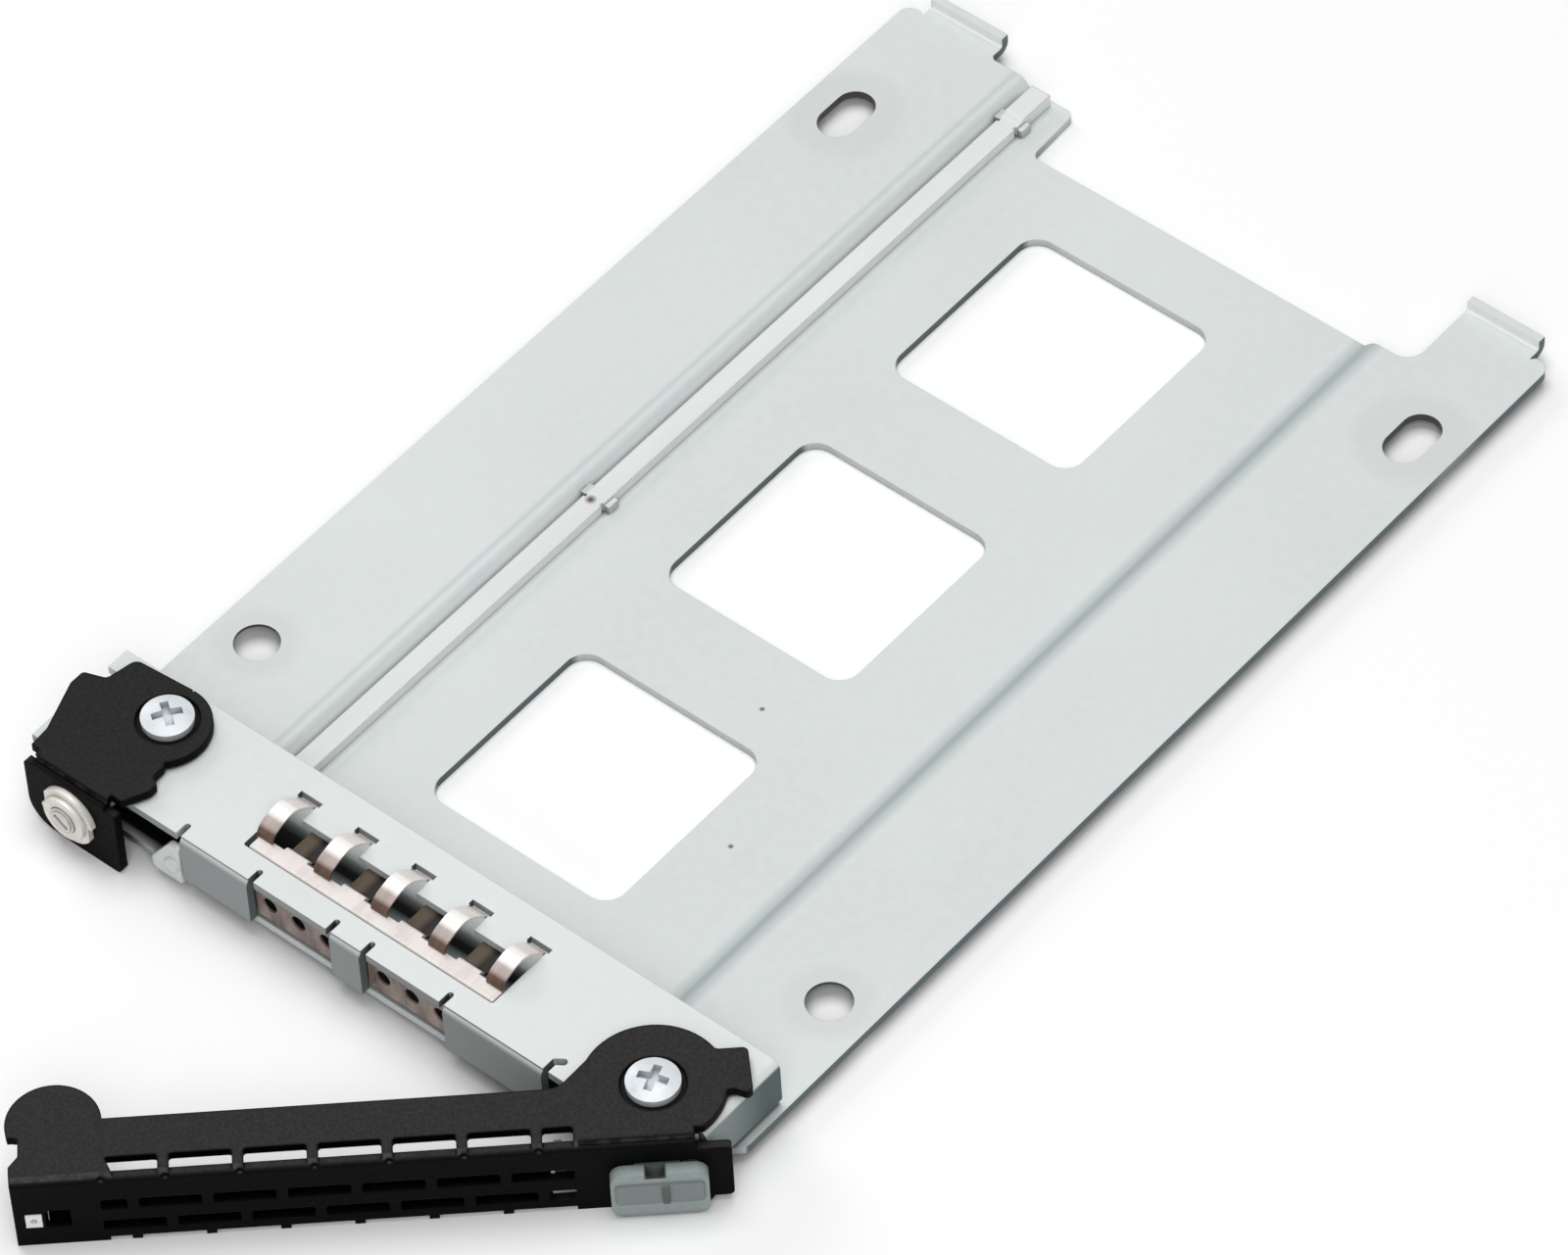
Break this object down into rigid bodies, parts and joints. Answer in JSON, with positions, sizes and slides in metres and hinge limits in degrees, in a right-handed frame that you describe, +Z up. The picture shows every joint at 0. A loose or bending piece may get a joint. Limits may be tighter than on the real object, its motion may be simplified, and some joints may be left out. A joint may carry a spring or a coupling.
{
  "type": "hot swap drive caddy",
  "caption": "Flat sheet-metal drive tray with a folded front bridge, a swinging vented pull handle, a sprung corner hook with a key lock and a thumb slide.",
  "frame": {"origin": "midway between the two front drive holes, on the plane the drive is seated on", "axes": "+X to the handle's pivot side, +Y to the rear end that enters the bay, +Z up from the seat plane"},
  "size_m": [0.0727, 0.1492, 0.0091],
  "materials": {
    "zinc_sheet": "satin zinc-plated sheet, pale cool grey",
    "zinc_bridge": "satin zinc-plated sheet, pale cool grey",
    "spring_silver": "bright rolled spring sheet, slightly warm",
    "rivet_steel": "plain plated steel",
    "clear_plastic": "clear moulded light pipe, milky where it lies on the sheet",
    "white_plastic": "thin pale slip washer",
    "screw_zinc": "bright zinc-plated screw",
    "spring_wire": "round spring wire",
    "black_powder": "fine black powder coat",
    "black_hook": "fine black powder coat",
    "black_screen": "thin matt black screen behind the lower vents",
    "white_window": "white light window",
    "grey_button": "moulded grey plastic with soft edges",
    "lock_metal": "plated lock barrel, part bright and part dark",
    "core_metal": "turned lock core"
  },
  "bodies": {
    "tray": {"tray_plate": "zinc_sheet", "light_pipe": "clear_plastic", "front_bridge": "zinc_bridge", "spring_finger_strip": "spring_silver", "foot_rivets": "rivet_steel", "handle_post": "rivet_steel", "hook_post": "rivet_steel", "handle_washer": "white_plastic", "hook_washer": "white_plastic", "handle_screw": "screw_zinc", "hook_screw": "screw_zinc", "handle_spring": "spring_wire", "hook_spring": "spring_wire"},
    "handle": {"pull_handle": "black_powder", "vent_screen": "black_screen", "light_window": "white_window", "bolt_keeper": "spring_silver", "bolt_spring": "spring_wire"},
    "slider": {"release_button": "grey_button", "latch_bolt": "rivet_steel"},
    "hook": {"corner_hook": "black_hook", "lock_barrel": "lock_metal", "lock_clip": "spring_wire"},
    "key_core": {"lock_core": "core_metal", "lock_cam": "rivet_steel"}
  },
  "joints": [
    {"name": "handle_swing", "type": "hinge", "parent": "tray", "child": "handle", "pos_m": [0.02865, -0.01865, 0.006], "axis": [0, 0, 1], "range_deg": [-42.8, 0], "deforming": ["handle_spring"]},
    {"name": "release_slide", "type": "slide", "parent": "handle", "child": "slider", "axis": [0.7337, 0.6794, 0], "range_m": [0, 0.0012], "stiffness_N_per_m": 100, "springref_m": -0.002, "deforming": ["bolt_spring"]},
    {"name": "hook_swing", "type": "hinge", "parent": "tray", "child": "hook", "pos_m": [-0.027, -0.0144, 0.006], "axis": [0, 0, 1], "range_deg": [-7, 0], "stiffness_Nm_per_rad": 0.01, "springref_deg": 5.73, "deforming": ["hook_spring"]},
    {"name": "lock_turn", "type": "hinge", "parent": "hook", "child": "key_core", "pos_m": [-0.0292, -0.022, 0.0022], "axis": [0, 1, 0], "range_deg": [0, 90]}
  ]
}
